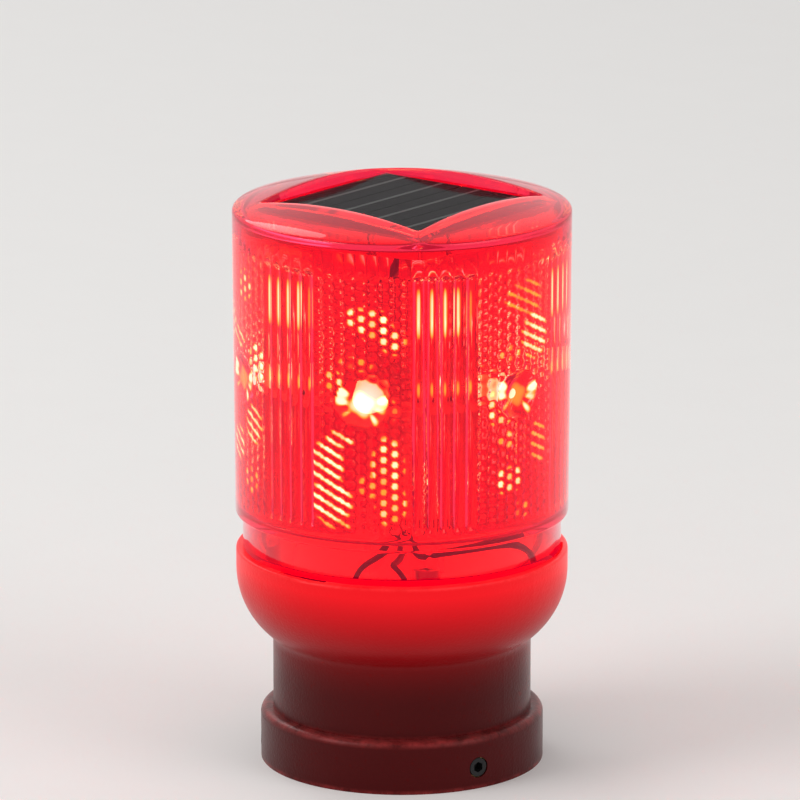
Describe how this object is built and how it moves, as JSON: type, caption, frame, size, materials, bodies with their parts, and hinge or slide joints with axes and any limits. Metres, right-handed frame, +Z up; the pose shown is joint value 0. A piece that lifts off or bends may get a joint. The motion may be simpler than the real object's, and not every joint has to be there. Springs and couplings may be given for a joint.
{
  "type": "solar led safety flare",
  "caption": "Solar LED warning flare: red prismatic lens with a solar tile in its domed top, twist-locked to a cup base with a pole socket.",
  "frame": {"origin": "centre of the foot ring's underside, which the flare stands on", "axes": "+Z up along the lens; the solar tile's sides lie along X and Y, and the battery lies along X"},
  "size_m": [0.07, 0.07, 0.1208],
  "materials": {
    "base_plastic": "deep red moulded plastic, semi-gloss",
    "lens_plastic": "clear red moulded plastic with prismatic optics inside",
    "led_body": "tinted LED resin, lit",
    "tinned_metal": "tinned leads, contacts and battery can",
    "screw_steel": "zinc-plated screws",
    "black_screw": "black-oxide set screws",
    "brass": "knurled brass inserts",
    "chassis_plastic": "pale moulded plastic",
    "board_green": "solder-masked circuit board",
    "resistor_black": "chip resistors",
    "connector_ivory": "connector nylon",
    "chip_black": "moulded packages",
    "ferrite": "ferrite core",
    "capacitor_sleeve": "sleeved can",
    "switch_plastic": "switch body",
    "rubber_black": "soft rubber",
    "tray_plastic": "dark moulded plastic",
    "battery_sleeve": "shrink sleeve",
    "wire_black": "PVC insulation",
    "wire_red": "PVC insulation",
    "solar_board": "tile substrate",
    "solar_cell": "silicon cells",
    "solar_cover": "clear cast resin",
    "adhesive": "foam adhesive pad"
  },
  "bodies": {
    "base": {"base_housing": "base_plastic", "screw_inserts": "brass", "chassis": "chassis_plastic", "chassis_screws": "screw_steel", "led_board": "board_green", "led_board_screws": "screw_steel", "led_1": "led_body", "led_2": "led_body", "led_3": "led_body", "led_4": "led_body", "led_5": "led_body", "led_6": "led_body", "led_leads": "tinned_metal", "led_resistors": "resistor_black", "panel_header": "connector_ivory", "panel_plug": "connector_ivory", "driver_board": "board_green", "driver_screws": "screw_steel", "driver_chip": "chip_black", "boost_inductor": "ferrite", "buffer_capacitor": "capacitor_sleeve", "switch_body": "switch_plastic", "battery_tray": "tray_plastic", "battery_can": "tinned_metal", "battery_cap": "tinned_metal", "battery_sleeve": "battery_sleeve", "positive_contact": "tinned_metal", "negative_contact": "tinned_metal", "contact_spring": "tinned_metal", "battery_lead_red": "wire_red", "battery_lead_black": "wire_black", "mast_lead_a": "wire_black", "mast_lead_b": "wire_black", "mast_lead_c": "wire_black"},
    "lens_unit": {"lens": "lens_plastic", "o_ring": "rubber_black", "solar_substrate": "solar_board", "solar_cells": "solar_cell", "solar_busbars": "tinned_metal", "solar_cover": "solar_cover", "tile_adhesive": "adhesive", "panel_lead_red": "wire_red", "panel_lead_black": "wire_black"},
    "button": {"switch_button": "rubber_black"},
    "screw_1": {"pole_screw_1": "black_screw"},
    "screw_2": {"pole_screw_2": "black_screw"},
    "screw_3": {"pole_screw_3": "black_screw"}
  },
  "joints": [
    {"name": "lens_turn", "type": "hinge", "parent": "base", "child": "lens_unit", "pos_m": [0, 0, 0.0415], "axis": [0, 0, 1], "range_deg": [0, 30]},
    {"name": "power_button", "type": "slide", "parent": "base", "child": "button", "axis": [0, 0, 1], "range_m": [0, 0.0012], "stiffness_N_per_m": 500},
    {"name": "pole_screw_1_slide", "type": "slide", "parent": "base", "child": "screw_1", "axis": [-0.9455, 0.3256, 0], "range_m": [0, 0.0025]},
    {"name": "pole_screw_2_slide", "type": "slide", "parent": "base", "child": "screw_2", "axis": [0.1908, -0.9816, 0], "range_m": [0, 0.0025]},
    {"name": "pole_screw_3_slide", "type": "slide", "parent": "base", "child": "screw_3", "axis": [0.7547, 0.6561, 0], "range_m": [0, 0.0025]}
  ]
}
